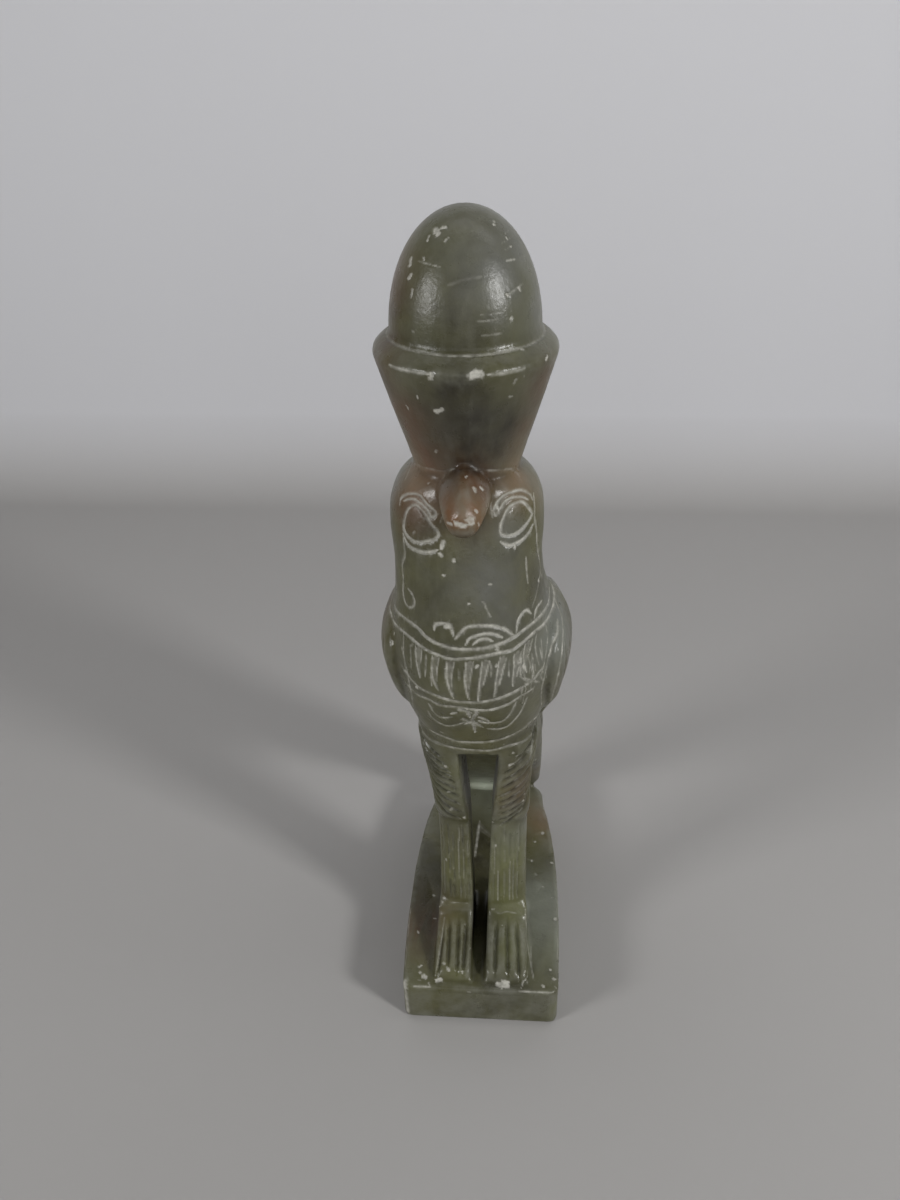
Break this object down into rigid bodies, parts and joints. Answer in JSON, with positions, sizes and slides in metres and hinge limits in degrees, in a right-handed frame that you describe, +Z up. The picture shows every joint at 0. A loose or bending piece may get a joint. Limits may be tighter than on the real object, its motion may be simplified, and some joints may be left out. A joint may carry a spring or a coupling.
{
  "type": "falcon statue",
  "caption": "Carved soapstone falcon of Horus with a tall double crown, standing on a low base with a rounded back. The space under its tail and the slot between its legs are open.",
  "frame": {"origin": "middle of the base's underside, where the statue stands", "axes": "+Z up along the figure, -Y the way the falcon faces, +X to the falcon's left"},
  "size_m": [0.0572, 0.097, 0.253],
  "materials": {
    "soapstone": "hand-rubbed and waxed, semi-gloss, with chalky knife lines and chips"
  },
  "bodies": {
    "root": {"falcon_statue": "soapstone"}
  },
  "joints": []
}
